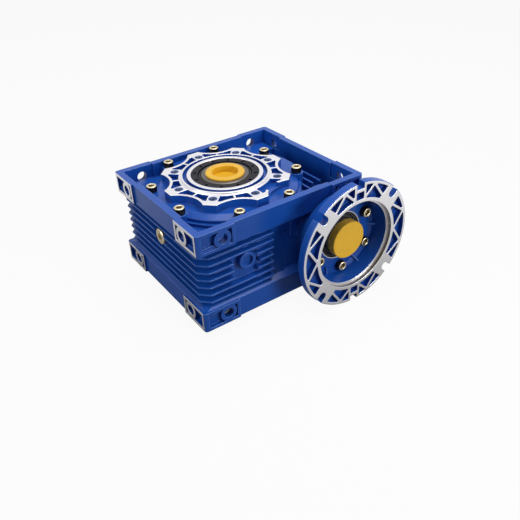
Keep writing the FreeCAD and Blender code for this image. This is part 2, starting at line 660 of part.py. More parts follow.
def truss_pockets():
    """Pockets of the flange face: a ring less the slot pads, the notch walls and a zigzag of ribs."""
    z0, z1 = FLANGE_FRONT - TRUSS_DEPTH, FLANGE_FRONT + 1
    band = disc(TRUSS_OUTER, z0, z1).cut(disc(TRUSS_INNER, z0, z1))
    keep = []
    pad = prism([polar(TRUSS_INNER - 4, -PAD_ANGLE * 1.25), polar(TRUSS_OUTER + 6, -PAD_ANGLE * 0.75),
                 polar(TRUSS_OUTER + 6, PAD_ANGLE * 0.75), polar(TRUSS_INNER - 4, PAD_ANGLE * 1.25)], z0, z1)
    keep += spun(pad, 4, 45)
    wall = NOTCH_SLOT_WIDTH / 2 + TRUSS_RIB
    post = box(TRUSS_INNER - 4, TRUSS_OUTER + 4, -wall, wall, z0, z1)
    keep += spun(post, 2, 90)
    mid, out_r, in_r = (TRUSS_INNER + TRUSS_OUTER) / 2 - 3.5, TRUSS_OUTER, TRUSS_INNER
    for s in (-1, 1):
        side = [(mid, 33 * s), (out_r, 16 * s), (in_r, 0)]
        upper = [(mid, 90 - 33 * s), (out_r, 90 - 16.5 * s), (in_r + 1, 90 - 7 * s)]
        for path in (side, upper):
            for p, q in zip(path, path[1:]):
                rib = truss_rib(polar(*p), polar(*q), z0, z1)
                keep += spun(rib, 2)
    pockets = [rounded(p, z0, z1) for p in band.cut(keep).Solids]
    small = box(TRUSS_INNER, NOTCH_POCKET_OUTER, -NOTCH_SLOT_WIDTH / 2, NOTCH_SLOT_WIDTH / 2, z0, z1)
    return pockets + spun(rounded(small, z0, z1), 2, 90)


def flange():
    """Motor flange, made about Z with its front face up, then turned onto the worm axis."""
    f, fl = FLANGE_FRONT, DISH_FLOOR
    spigot = FRONT_BEARING["outer"] - SPIGOT_FIT
    seal_back = INPUT_SEAL_FACE - INPUT_SEAL_WIDTH
    inner_stop = FRONT_BEARING_FACE + BEARING_END_GAP
    rim_back = f - FLANGE_RIM
    profile = [(PILOT_RADIUS, f), (FLANGE_RADIUS - 0.8, f), (FLANGE_RADIUS, f - 0.8)]
    profile += [(FLANGE_RADIUS, rim_back), (PILOT_RADIUS + 4, rim_back)]
    profile += [(FLANGE_BACK_RADIUS, HALF_WIDTH + 9), (FLANGE_BACK_RADIUS, HALF_WIDTH)]
    profile += [(spigot, HALF_WIDTH), (spigot, inner_stop), (WORM_COLLAR_RADIUS + 3, inner_stop)]
    profile += [(WORM_COLLAR_RADIUS + 1, seal_back), (INPUT_SEAL_RADIUS + SEAL_FIT, seal_back)]
    profile += [(INPUT_SEAL_RADIUS + SEAL_FIT, fl), (DISH_FLOOR_RADIUS - 3, fl), (DISH_FLOOR_RADIUS, fl + 3)]
    profile += [(DISH_STEP_RADIUS, f - PILOT_DEPTH), (PILOT_RADIUS, f - PILOT_DEPTH)]
    solid = join([turned(profile)] + spun(dish_rib(), DISH_RIB_COUNT))
    slot = box(SLOT_CIRCLE, FLANGE_RADIUS + 5, -SLOT_WIDTH / 2, SLOT_WIDTH / 2, rim_back - 6, f + 1)
    slot = slot.fuse(disc(SLOT_WIDTH / 2, rim_back - 6, f + 1, V(SLOT_CIRCLE, 0, 0)))
    tools = spun(slot, 4, 45) + truss_pockets()
    notch = NOTCH_SLOT_WIDTH / 2
    tools += spun(box(NOTCH_SLOT_FLOOR, FLANGE_RADIUS + 5, -notch, notch, rim_back - 1, f + 1), 2, 90)
    hole = disc(FLANGE_SCREW["radius"] + SCREW_GAP, HALF_WIDTH - 1, fl + 1, V(FLANGE_SCREW_CIRCLE, 0, 0))
    tools += spun(hole, FLANGE_SCREW_COUNT, 30)
    tools.append(disc(FLANGE_SCREW["head"] + 1.2, fl, fl + 14, V(FLANGE_SCREW_CIRCLE, 0, 0)))
    tools = tools[:-1] + spun(tools[-1], FLANGE_SCREW_COUNT, 30)
    z = HALF_WIDTH - 3.2
    deep, h = 2 * O_RING_RADIUS + O_RING_GAP, O_RING_RADIUS + 0.3
    tools.append(turned([(spigot - deep, z - h), (spigot + 1, z - h),
                         (spigot + 1, z + h), (spigot - deep, z + h)]))
    return to_front(cut(solid, tools))


def to_front(shape):
    """Turn a shape made about Z so that its +Z points to -Y on the worm axis and its +Y points up."""
    moved = shape.copy()
    moved.rotate(ORIGIN, X, 90)
    moved.translate(V(CENTRE_DISTANCE, 0, 0))
    return moved


def worm():
    """Worm shaft with a single-start thread, bearing seats and a keyed hollow front end."""
    fb, rb = FRONT_BEARING, REAR_BEARING
    half = THREAD_TURNS * axial_pitch / 2
    seat, stop = fb["bore"] - BEARING_FIT, -FRONT_BEARING_FACE + fb["width"]
    rear_seat, rear_end = rb["bore"] - BEARING_FIT, REAR_BEARING_FACE + rb["width"] + 0.1
    profile = [(0, -WORM_FRONT_END), (seat - 1, -WORM_FRONT_END), (seat, -WORM_FRONT_END + 1), (seat, stop)]
    profile += [(WORM_COLLAR_RADIUS, stop), (WORM_COLLAR_RADIUS, stop + WORM_COLLAR_LENGTH)]
    runout = half + thread_half(worm_root_radius - 1) + 1
    profile += [(WORM_BODY_RADIUS, stop + WORM_COLLAR_LENGTH + 4), (WORM_BODY_RADIUS, -runout - 5)]
    profile += [(worm_root_radius, -runout), (worm_root_radius, runout), (WORM_BODY_RADIUS, runout + 5)]
    profile += [(WORM_BODY_RADIUS, REAR_BEARING_FACE - 5), (rear_seat + 3.5, REAR_BEARING_FACE - 5)]
    profile += [(rear_seat + 3.5, REAR_BEARING_FACE), (rear_seat, REAR_BEARING_FACE)]
    profile += [(rear_seat, rear_end - 1), (rear_seat - 1, rear_end), (0, rear_end)]
    core = turned(profile)
    path = Part.Wire(Part.makeHelix(axial_pitch, 2 * half, worm_pitch_radius).Edges)
    path.translate(V(0, 0, -half))
    low, high = worm_root_radius - 1.0, worm_tip_radius
    section = [V(low, 0, -half - thread_half(low)), V(high, 0, -half - thread_half(high))]
    section += [V(high, 0, -half + thread_half(high)), V(low, 0, -half + thread_half(low))]
    profile_wire = Part.makePolygon(section + section[:1])
    thread = path.makePipeShell([profile_wire], True, True)
    solid = core.fuse(thread)
    bore_end = -WORM_FRONT_END + INPUT_BORE_DEPTH
    k = INPUT_KEY_WIDTH / 2
    key = box(0, INPUT_KEY_HEIGHT, -k, k, -WORM_FRONT_END - 1, bore_end - 8)
    bore = disc(INPUT_BORE_RADIUS, -WORM_FRONT_END - 1, bore_end)
    return on_worm(cut(solid, [bore, key]))


def thread_half(radius):
    """Half thickness of the worm's thread at a radius, along its axis."""
    return axial_pitch / 4 - (radius - worm_pitch_radius) * tan_pressure


def swept_angle(radius, z, side):
    """Largest angle that the worm's thread reaches at a radius of the wheel, in the plane at height z.

    In that plane the thread's section is a rack: its edge stands at the thread's offset round
    the worm plus or minus its half thickness. The rack slides past while the wheel turns with it.
    """
    best = None
    for i in range(-40, 41):
        slide = 0.6 * i
        depth = CENTRE_DISTANCE - radius
        for step in range(6):
            offset = axial_pitch * math.atan2(z, depth) / (2 * math.pi)
            edge = offset + slide + side * (thread_half(math.hypot(depth, z)) + FLANK_CLEARANCE)
            depth = CENTRE_DISTANCE - math.sqrt(max(radius * radius - edge * edge, 1.0))
        if math.hypot(depth, z) > worm_tip_radius + TIP_CLEARANCE:
            continue
        angle = math.atan2(edge, CENTRE_DISTANCE - depth) - slide / WHEEL_PITCH_RADIUS
        if best is None or side * angle > side * best:
            best = angle
    return best


def tooth_space():
    """Cutter for one tooth space: a loft through its sections across the wheel's width."""
    wires = []
    half = WHEEL_WIDTH / 2 + 0.5
    reach = worm_tip_radius + TIP_CLEARANCE * 0.8
    for i in range(SPACE_SECTIONS):
        z = half * (2.0 * i / (SPACE_SECTIONS - 1) - 1)
        root = CENTRE_DISTANCE - math.sqrt(reach * reach - z * z)
        top = max(WHEEL_OUTER_RADIUS, root) + CUTTER_OVERRUN
        edges = []
        ends = []
        for side in (-1, 1):
            points = []
            for k in range(5):
                r = root + (top - root) * k / 4
                a = swept_angle(r, z, side)
                points.append(V(r * math.cos(a), r * math.sin(a), z))
            curve = Part.BSplineCurve()
            curve.interpolate(points)
            edges.append(curve.toShape())
            ends.append(points)
        edges.append(Part.makeLine(ends[0][0], ends[1][0]))
        edges.append(Part.makeLine(ends[0][-1], ends[1][-1]))
        wires.append(Part.Wire(Part.__sortEdges__(edges)))
    return Part.makeLoft(wires, True, False)


def wheel_rim():
    """Bronze rim with a throat turned to the worm and thirty generated tooth spaces."""
    w, r = WHEEL_WIDTH / 2, WHEEL_OUTER_RADIUS
    blank = turned([(RIM_INNER_RADIUS, -w), (r - 3, -w), (r, -w + 3),
                    (r, w - 3), (r - 3, w), (RIM_INNER_RADIUS, w)])
    throat = Part.makeTorus(CENTRE_DISTANCE, CENTRE_DISTANCE - wheel_tip_radius)
    return cut(blank.cut(throat), spun(tooth_space(), GEAR_RATIO))


def output_shaft():
    """Hollow shaft with its hub, keyed bore and end reliefs."""
    h, s = SHAFT_HALF_LENGTH, CAVITY_HALF_HEIGHT
    seat = SHAFT_RADIUS - BEARING_FIT
    top = [(seat - 1, h), (seat, h - 1), (seat, s)]
    top += [(HUB_SHOULDER_RADIUS, s), (HUB_SHOULDER_RADIUS, HUB_WEB_HALF + 3)]
    top += [(HUB_SHOULDER_RADIUS + 3, HUB_WEB_HALF), (RIM_INNER_RADIUS, HUB_WEB_HALF)]
    lower = [(r, -z) for r, z in reversed(top)]
    solid = turned([(0, h)] + top + lower + [(0, -h)])
    tools = [disc(BORE_RADIUS, -h - 1, h + 1), disc(RELIEF_RADIUS, h - RELIEF_DEPTH, h + 1)]
    tools.append(box(0, BORE_KEY_HEIGHT, -BORE_KEY_WIDTH / 2, BORE_KEY_WIDTH / 2, -h - 1, h + 1))
    return cut(solid, tools)


def output_cap():
    """Hollow plug with a flange, in the upper end of the bore."""
    h = SHAFT_HALF_LENGTH + 0.02
    plug, w = RELIEF_RADIUS - CAP_GAP, OUTPUT_CAP_WALL
    foot = h - RELIEF_DEPTH + 1
    profile = [(0, foot), (plug - 1, foot), (plug, foot + 1), (plug, h), (OUTPUT_CAP_RADIUS, h)]
    top = h + OUTPUT_CAP_HEIGHT
    profile += [(OUTPUT_CAP_RADIUS, top - 0.5), (OUTPUT_CAP_RADIUS - 0.5, top)]
    profile += [(plug - w + 0.5, top), (plug - w, top - 0.5), (plug - w, foot + w), (0, foot + w)]
    return turned(profile)


def input_cap():
    """Cup over the worm's hollow end, made with its closed face up."""
    end = WORM_FRONT_END + 0.02
    inner = FRONT_BEARING["bore"] - BEARING_FIT + CAP_GAP
    outer, face = inner + INPUT_CAP_WALL, end + INPUT_CAP_WALL
    profile = [(0, end), (inner, end), (inner, end - INPUT_CAP_LENGTH), (outer, end - INPUT_CAP_LENGTH)]
    profile += [(outer, face - 0.8), (outer - 0.8, face), (0, face)]
    return to_front(turned(profile))


def oil_plug():
    """Hex socket plug and its washer on the base face, screwed in along X."""
    seat = BASE_HEIGHT - BODY_INSET + PLUG_SEAT_DEPTH - 3
    flange_low = WASHER_THICKNESS
    flange_high = flange_low + PLUG_FLANGE_THICKNESS
    plug = turned([(0, -PLUG_THREAD_LENGTH), (PLUG_THREAD_RADIUS - 1, -PLUG_THREAD_LENGTH),
                   (PLUG_THREAD_RADIUS, -PLUG_THREAD_LENGTH + 1), (PLUG_THREAD_RADIUS, flange_low),
                   (PLUG_FLANGE_RADIUS, flange_low), (PLUG_FLANGE_RADIUS, flange_high - 0.6),
                   (PLUG_FLANGE_RADIUS - 0.6, flange_high), (0, flange_high)])
    plug = plug.cut(hexagon(PLUG_SOCKET, flange_high - 6, flange_high + 1))
    hole = disc(PLUG_THREAD_RADIUS + 0.2, 0, WASHER_THICKNESS)
    washer = disc(PLUG_FLANGE_RADIUS, 0, WASHER_THICKNESS).cut(hole)
    placed = []
    for piece in (plug, washer):
        piece.rotate(ORIGIN, Y, -90)
        piece.translate(V(-seat, 0, PLUG_HEIGHT))
        placed.append(piece)
    return placed


def end_cap_and_clip():
    """Pressed end cap and the circlip behind the rear bearing."""
    r = REAR_BEARING["outer"]
    clip = REAR_BEARING_FACE + REAR_BEARING["width"] + BEARING_END_GAP + 0.1
    clip_end = clip + CIRCLIP_THICKNESS
    snap = disc(r + CIRCLIP_GROOVE - 0.2, clip, clip_end).cut(disc(r - 3.5, clip, clip_end))
    snap = snap.cut(box(r - 6, r + 4, -4, 4, clip, clip_end))
    z1 = REAR_TUBE_END - 0.5
    z0 = z1 - END_CAP_THICKNESS
    rim = r - END_CAP_RIM
    cap = turned([(0, z0 + 2), (rim, z0 + 2), (rim, z0), (r, z0), (r, z1 - 0.8), (r - 0.8, z1),
                  (rim - 2, z1), (rim - 3, z1 - 1.2), (0, z1 - 1.2)])
    return on_worm(cap), on_worm(snap)


def place_bearing(size, shift, flip, carry):
    """Four bearing pieces moved along their axis and onto their shaft."""
    placed = []
    for piece in bearing(size):
        piece.translate(V(0, 0, shift))
        if flip:
            piece = flipped(piece)
        placed.append(carry(piece))
    return placed


def same(shape):
    """Leave a shape where it is."""
    return shape


def build():
    os.makedirs("parts", exist_ok=True)
    save("housing", housing())
    save("output_cover", cover())
    save("input_flange", flange())
    screw = socket_screw(COVER_SCREW)
    screw.translate(V(COVER_SCREW_CIRCLE, 0, cover_top))
    save("cover_screws", Part.Compound(spun(screw, COVER_SCREW_COUNT, 22.5)))
    screw = socket_screw(FLANGE_SCREW)
    screw.translate(V(FLANGE_SCREW_CIRCLE, 0, DISH_FLOOR))
    save("flange_screws", to_front(Part.Compound(spun(screw, FLANGE_SCREW_COUNT, 30))))
    o_ring = ring(CAVITY_RADIUS - SPIGOT_FIT - O_RING_RADIUS)
    o_ring.translate(V(0, 0, DRUM_TOP - COVER_SPIGOT_LENGTH / 2))
    save("cover_o_ring", o_ring)
    o_ring = ring(FRONT_BEARING["outer"] - SPIGOT_FIT - O_RING_RADIUS)
    o_ring.translate(V(0, 0, HALF_WIDTH - 3.2))
    save("flange_o_ring", to_front(o_ring))
    lip = seal(OUTPUT_SEAL_RADIUS, SHAFT_RADIUS, OUTPUT_SEAL_WIDTH)
    lip.translate(V(0, 0, SHAFT_HALF_LENGTH - 0.5 - OUTPUT_SEAL_WIDTH))
    save("output_seal_upper", lip)
    save("output_seal_lower", flipped(lip))
    lip = seal(INPUT_SEAL_RADIUS, FRONT_BEARING["bore"], INPUT_SEAL_WIDTH)
    lip.translate(V(0, 0, INPUT_SEAL_FACE - INPUT_SEAL_WIDTH))
    save("input_seal", to_front(lip))
    sets = [("output_bearing_upper", OUTPUT_BEARING, CAVITY_HALF_HEIGHT, False, same),
            ("output_bearing_lower", OUTPUT_BEARING, CAVITY_HALF_HEIGHT, True, same),
            ("worm_bearing_front", FRONT_BEARING, FRONT_BEARING_FACE - FRONT_BEARING["width"], True, on_worm),
            ("worm_bearing_rear", REAR_BEARING, REAR_BEARING_FACE, False, on_worm)]
    for name, size, shift, flip, carry in sets:
        pieces = place_bearing(size, shift, flip, carry)
        for label, piece in zip(("inner_ring", "outer_ring", "balls", "cage"), pieces):
            save("%s_%s" % (name, label), piece)
    save("output_shaft", output_shaft())
    save("wheel_rim", wheel_rim())
    save("worm_shaft", worm())
    cap, clip = end_cap_and_clip()
    save("worm_end_cap", cap)
    save("worm_end_circlip", clip)
    plug, washer = oil_plug()
    save("oil_plug", plug)
    save("oil_plug_washer", washer)
    save("output_cap", output_cap())
    save("input_cap", input_cap())


build()
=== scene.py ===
import json
import math

import bpy
import numpy as np
from mathutils import Matrix, Vector


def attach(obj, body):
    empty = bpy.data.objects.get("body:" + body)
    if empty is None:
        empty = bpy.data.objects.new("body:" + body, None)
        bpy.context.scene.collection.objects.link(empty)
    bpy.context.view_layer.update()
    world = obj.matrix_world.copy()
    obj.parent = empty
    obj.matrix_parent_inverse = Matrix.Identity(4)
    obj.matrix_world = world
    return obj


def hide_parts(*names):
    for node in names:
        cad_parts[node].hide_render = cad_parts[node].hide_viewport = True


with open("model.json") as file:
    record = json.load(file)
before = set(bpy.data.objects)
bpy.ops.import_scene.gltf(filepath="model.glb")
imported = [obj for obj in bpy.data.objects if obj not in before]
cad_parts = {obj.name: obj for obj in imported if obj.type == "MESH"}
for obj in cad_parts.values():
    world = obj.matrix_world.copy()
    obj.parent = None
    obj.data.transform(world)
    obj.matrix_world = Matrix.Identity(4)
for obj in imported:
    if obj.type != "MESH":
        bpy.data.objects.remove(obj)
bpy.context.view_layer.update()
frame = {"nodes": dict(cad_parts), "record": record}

# %% [markdown]
# A worm gear reducer is a painted aluminium casting with a few machined faces left bare.
# The solids come from the CAD frame, in metres, and this script dresses them: it softens the
# cast edges, paints, machines and plates each piece, and adds the small moulded details.

# %% Nodes of the frame
nodes = frame["nodes"]

# %% [markdown]
# Every finish is a small node tree. The helpers below add one node, set its plain values and
# join its inputs, so that each material reads as a list of steps. A value that is constant is
# written on the socket, and a socket that varies gets a link. They serve the room's tree too.

# %% Node helpers
def new_material(name):
    """A material with its Principled shader, ready for links."""
    mat = bpy.data.materials.new(name)
    mat.use_nodes = True
    return mat, mat.node_tree.nodes["Principled BSDF"]


def join(mat, value, socket):
    """Links a socket to a socket, or writes a plain value on it."""
    if isinstance(value, bpy.types.NodeSocket):
        mat.node_tree.links.new(value, socket)
    else:
        socket.default_value = value


def add(mat, kind, settings=None, **inputs):
    """Adds a node; an input takes a plain value or a socket, and i0, i1 and so on are inputs by number."""
    node = mat.node_tree.nodes.new(kind)
    for key, value in (settings or {}).items():
        setattr(node, key, value)
    for key, value in inputs.items():
        by_number = key[0] == "i" and key[1:].isdigit()
        join(mat, value, node.inputs[int(key[1:]) if by_number else key])
    return node


def maths(mat, operation, a, b=0.0):
    """One arithmetic step."""
    return add(mat, "ShaderNodeMath", {"operation": operation}, i0=a, i1=b).outputs[0]


def mix(mat, factor, a, b):
    """Colour mix of a and b."""
    return add(mat, "ShaderNodeMix", {"data_type": "RGBA"}, i0=factor, i6=a, i7=b).outputs[2]


def blend_value(mat, factor, a, b):
    """Value mix of a and b."""
    return add(mat, "ShaderNodeMix", {"data_type": "FLOAT"}, i0=factor, i2=a, i3=b).outputs[0]


def cloud(mat, coords, scale, detail):
    """Soft noise between 0 and 1."""
    return add(mat, "ShaderNodeTexNoise", Vector=coords, Scale=scale, Detail=detail).outputs[0]


print("node helpers ready, Blender", bpy.app.version_string)

# %% [markdown]
# A finish often depends on where a point lies on the piece. Object coordinates are metres in the
# frame of the CAD model, so a mask reads like a note on a drawing: over this height, within that
# radius. A surface that is made here also has a UV map, which counts its own turn and path.

# %% Where a point lies
def object_coords(mat):
    """Object coordinates as one vector, in metres."""
    return add(mat, "ShaderNodeTexCoord").outputs["Object"]


def parts_of(mat, vector):
    """The three numbers of a vector."""
    xyz = add(mat, "ShaderNodeSeparateXYZ", Vector=vector)
    return xyz.outputs[0], xyz.outputs[1], xyz.outputs[2]


def path_uv(mat):
    """Turn and step of a surface's own grid, each from 0 to 1."""
    return parts_of(mat, add(mat, "ShaderNodeTexCoord").outputs["UV"])[:2]


def above(mat, value, limit):
    """1 where value is over the limit, else 0."""
    return maths(mat, "GREATER_THAN", value, limit)


def below(mat, value, limit):
    """1 where value is under the limit, else 0."""
    return maths(mat, "LESS_THAN", value, limit)


def between(mat, value, low, high):
    """1 where value is over low and under high, else 0."""
    return maths(mat, "MULTIPLY", above(mat, value, low), below(mat, value, high))


def radius(mat, a, b):
    """Distance from an axis: the root of the sum of the squares of the two coordinates across it."""
    return maths(mat, "SQRT", maths(mat, "ADD", maths(mat, "MULTIPLY", a, a), maths(mat, "MULTIPLY", b, b)))


print("mask helpers ready")

# %% [markdown]
# The castings carry one coat of gloss blue, and the faces that mate with other machines are
# turned or milled after painting. So one material holds both: a mask worked out from the place
# on the casting picks bare aluminium or paint. The turning marks are fine rings about the axis.
# Cast edges are never sharp, so a Bevel node bends the shading normal within a millimetre of
# each edge and lets it catch the light, without touching the solid itself. The coat is also
# painted a lighter blue over an outer edge, a painted highlight where the rounded normal leans away from the
# flat one.

# %% Paint and machined metal
BLUE = (0.008, 0.070, 0.35, 1.0)
BLUE_DEEP = (0.006, 0.058, 0.31, 1.0)
# lighter blue for the painted highlight on outer edges
EDGE_HIGHLIGHT = (0.085, 0.20, 0.56, 1.0)
BARE = (0.80, 0.79, 0.81, 1.0)
BARE_DEEP = (0.70, 0.69, 0.72, 1.0)
# painted reflection: dark grey-brown for the pilot wall, standing for the dark surroundings it mirrors
DARK_REFLECTION = (0.30, 0.28, 0.27, 1.0)
PAINT_ROUGH, METAL_ROUGH = (0.24, 0.34), (0.25, 0.42)
EDGE_RADIUS, CORNER_REACH = 0.0013, 0.003
LEAN_GAIN, OPEN_SHARE = 4.0, 0.85
MARKS_PER_METRE = 4200.0


def edge_highlight_share(mat, rounded):
    """Share of the painted edge highlight: how far the rounded normal leans from the flat one, less the inner
    corners.
    """
    flat = add(mat, "ShaderNodeNewGeometry").outputs["Normal"]
    product = add(mat, "ShaderNodeVectorMath", {"operation": "DOT_PRODUCT"}, i0=rounded, i1=flat)
    lean = maths(mat, "MULTIPLY", maths(mat, "SUBTRACT", 1.0, product.outputs["Value"]), LEAN_GAIN)
    open_air = add(mat, "ShaderNodeAmbientOcclusion", {"samples": 6}, Distance=CORNER_REACH).outputs["AO"]
    return maths(mat, "MULTIPLY", maths(mat, "MINIMUM", lean, 1.0), above(mat, open_air, OPEN_SHARE))


def casting(name, find_bare, across, find_dark_reflection=None):
    """Gloss paint with bare machined zones, some of them painted dark as a painted reflection; across gives
    the axes of the turning marks.
    """
    mat, shader = new_material(name)
    coords = object_coords(mat)
    x, y, z = parts_of(mat, coords)
    bare = find_bare(mat, x, y, z)
    soft = add(mat, "ShaderNodeBevel", {"samples": 6}, Radius=EDGE_RADIUS).outputs[0]
    coat = mix(mat, cloud(mat, coords, scale=28.0, detail=3.0), BLUE_DEEP, BLUE)
    # painted highlight: the coat turns a lighter blue on outer edges
    paint = mix(mat, edge_highlight_share(mat, soft), coat, EDGE_HIGHLIGHT)
    ring = maths(mat, "MULTIPLY", radius(mat, *across(x, y, z)), MARKS_PER_METRE)
    lathe = add(mat, "ShaderNodeTexNoise", {"noise_dimensions": "1D"}, W=ring, Scale=1.0, Detail=2.0)
    marks = lathe.outputs[0]
    metal = mix(mat, marks, BARE_DEEP, BARE)
    # painted reflection: the bare metal is painted dark where the mask is set
    if find_dark_reflection:
        metal = mix(mat, find_dark_reflection(mat, x, y, z), metal, DARK_REFLECTION)
    join(mat, mix(mat, bare, paint, metal), shader.inputs["Base Color"])
    join(mat, bare, shader.inputs["Metallic"])
    paint_rough = blend_value(mat, cloud(mat, coords, scale=900.0, detail=2.0), *PAINT_ROUGH)
    metal_rough = blend_value(mat, marks, *METAL_ROUGH)
    join(mat, blend_value(mat, bare, paint_rough, metal_rough), shader.inputs["Roughness"])
    relief = blend_value(mat, bare, cloud(mat, coords, scale=420.0, detail=1.0), marks)
    bump = add(mat, "ShaderNodeBump", Strength=0.06, Distance=0.0004, Height=relief, Normal=soft)
    join(mat, bump.outputs[0], shader.inputs["Normal"])
    shader.inputs["Specular IOR Level"].default_value = 0.28
    return mat


print("paint", BLUE[:3], "and bare metal", BARE[:3])

# %% [markdown]
# The machined zones are few: the base faces of the corner blocks, the output flanges with their
# spigot, and the front of the motor flange with its pilot. Each mask compares a height or a radius
# with the place of the cut, taken a hair off the face so that rounding can't lose it.

# %% Machined zones
BASE_FACE, OUTPUT_FACE, SPIGOT_FACE = -0.10292, 0.06795, 0.07042
GROOVE_INNER, GROOVE_OUTER = 0.04722, 0.05258
SEAL_SEAT, SEAT_HEIGHT = 0.0432, 0.05
HOLE_CIRCLE, HOLE_MOUTH = 0.065, 0.0053
WORM_X = 0.09
EIGHTH_TURN = math.pi / 4
MOTOR_FACE, PILOT_STEP = -0.14492, -0.13895
PILOT_WALL = (-0.1449, -0.13905)
PILOT_RADIUS, LIP_RADIUS, LIP_DEPTH = 0.0573, 0.0322, -0.10


def housing_bare(mat, x, y, z):
    """Base faces of the corner blocks and the lower output flange."""
    return maths(mat, "MAXIMUM", below(mat, x, BASE_FACE), below(mat, z, -OUTPUT_FACE))


def hole_mouths(mat, x, y, r):
    """1 in the mouths of the eight tapped holes, by the distance from the nearest hole's middle."""
    turn = maths(mat, "ARCTAN2", y, x)
    nearest = maths(mat, "ROUND", maths(mat, "MULTIPLY", turn, 1 / EIGHTH_TURN))
    aside = maths(mat, "SUBTRACT", turn, maths(mat, "MULTIPLY", nearest, EIGHTH_TURN))
    along = maths(mat, "SUBTRACT", maths(mat, "MULTIPLY", r, maths(mat, "COSINE", aside)), HOLE_CIRCLE)
    across = maths(mat, "MULTIPLY", r, maths(mat, "SINE", aside))
    return below(mat, radius(mat, along, across), HOLE_MOUTH)


def cover_bare(mat, x, y, z):
    """Flange face and spigot, but not the groove between the two rings or the mouths of the holes."""
    r = radius(mat, x, y)
    face = above(mat, z, OUTPUT_FACE)
    sunk = maths(mat, "MULTIPLY", between(mat, r, GROOVE_INNER, GROOVE_OUTER), below(mat, z, SPIGOT_FACE))
    seat = maths(mat, "MULTIPLY", below(mat, r, SEAL_SEAT), above(mat, z, SEAT_HEIGHT))
    turned = maths(mat, "MAXIMUM", maths(mat, "SUBTRACT", face, sunk), seat)
    clear = maths(mat, "SUBTRACT", 1.0, hole_mouths(mat, x, y, r))
    return maths(mat, "MULTIPLY", clear, turned)


def flange_bare(mat, x, y, z):
    """Front lattice, the pilot's wall and step, and the lip round the input seal."""
    r = radius(mat, maths(mat, "SUBTRACT", x, WORM_X), z)
    face = below(mat, y, MOTOR_FACE)
    pilot = maths(mat, "MULTIPLY", below(mat, r, PILOT_RADIUS), below(mat, y, PILOT_STEP))
    lip = maths(mat, "MULTIPLY", below(mat, r, LIP_RADIUS), below(mat, y, LIP_DEPTH))
    return maths(mat, "MAXIMUM", maths(mat, "MAXIMUM", face, pilot), lip)


def pilot_dark_reflection(mat, x, y, z):
    """The pilot's wall, painted dark as a painted reflection of dark surroundings; its step and the seal's
    lip stay bright.
    """
    return between(mat, y, *PILOT_WALL)


def about_output(x, y, z):
    """Coordinates across the output axis."""
    return x, y


def about_worm(x, y, z):
    """Coordinates across the worm's direction, for rings on the motor flange."""
    return x, z


paint_housing = casting("painted_housing", housing_bare, about_output)
paint_cover = casting("painted_cover", cover_bare, about_output)
paint_flange = casting("painted_flange", flange_bare, about_worm, pilot_dark_reflection)
print("casting materials:", paint_housing.name, paint_cover.name, paint_flange.name)

# %% [markdown]
# The other pieces have one finish each: zinc plate with a thin yellow passivation, moulded
# rubber, soft yellow plastic, ground or blackened steel, turned iron, bronze and copper. Each
# is one tint broken up by noise, with a little unevenness in its gloss.

# %% Plain finishes
def finish(name, low, high, metallic, rough, scale, bump_strength=0.05):
    """Noise between two tints with a matching spread of roughness."""
    mat, shader = new_material(name)
    coords = object_coords(mat)
    noise = cloud(mat, coords, scale, detail=3.0)
    join(mat, mix(mat, noise, low + (1.0,), high + (1.0,)), shader.inputs["Base Color"])
    join(mat, blend_value(mat, noise, rough[0], rough[1]), shader.inputs["Roughness"])
    shader.inputs["Metallic"].default_value = metallic
    fine = cloud(mat, coords, scale * 6, detail=2.0)
    bump = add(mat, "ShaderNodeBump", Strength=bump_strength, Distance=0.0003, Height=fine)
    join(mat, bump.outputs[0], shader.inputs["Normal"])
    return mat


zinc = finish("yellow_zinc", (0.62, 0.52, 0.30), (0.80, 0.72, 0.52), 1.0, (0.22, 0.4), 160.0)
# black rubber, made darker than the seal face's so the lip and its gap at the shaft show as painted shade
rubber = finish("seal_rubber", (0.004, 0.004, 0.004), (0.010, 0.010, 0.011), 0.0, (0.5, 0.7), 300.0, 0.1)
plastic = finish("yellow_plastic", (0.58, 0.31, 0.006), (0.68, 0.39, 0.014), 0.0, (0.34, 0.46), 120.0)
# painted light: a paler copy of the yellow plastic for the input cap
lit_cap_plastic = finish("input_cap_plastic", (0.70, 0.385, 0.010), (0.80, 0.46, 0.018), 0.0, (0.34, 0.46), 120.0)
steel = finish("ground_steel", (0.50, 0.50, 0.52), (0.66, 0.66, 0.68), 1.0, (0.25, 0.4), 220.0)
iron = finish("turned_iron", (0.10, 0.088, 0.082), (0.17, 0.15, 0.14), 1.0, (0.3, 0.45), 260.0)
# blue paint over the threads, darkened as painted shade inside the tapped holes
shaded_thread_metal = finish("tapped_metal", (0.045, 0.06, 0.12), (0.12, 0.15, 0.23), 1.0, (0.3, 0.45), 300.0)
dark_steel = finish("blackened_steel", (0.05, 0.05, 0.055), (0.09, 0.09, 0.1), 1.0, (0.35, 0.5), 200.0)
bronze = finish("cast_bronze", (0.50, 0.32, 0.12), (0.66, 0.46, 0.2), 1.0, (0.3, 0.45), 140.0)
copper = finish("soft_copper", (0.6, 0.3, 0.16), (0.72, 0.4, 0.24), 1.0, (0.3, 0.45), 140.0)
plain_finishes = (zinc, rubber, plastic, lit_cap_plastic, steel, iron, shaded_thread_metal, dark_steel, bronze, copper)
print("plain finishes:", [mat.name for mat in plain_finishes])

# %% [markdown]
# Each CAD node names a material slot in the frame's record, so one table from slot to finish
# dresses them all. The input cap gets a paler copy of the same yellow plastic, painted lighter for the light
# that falls on it.

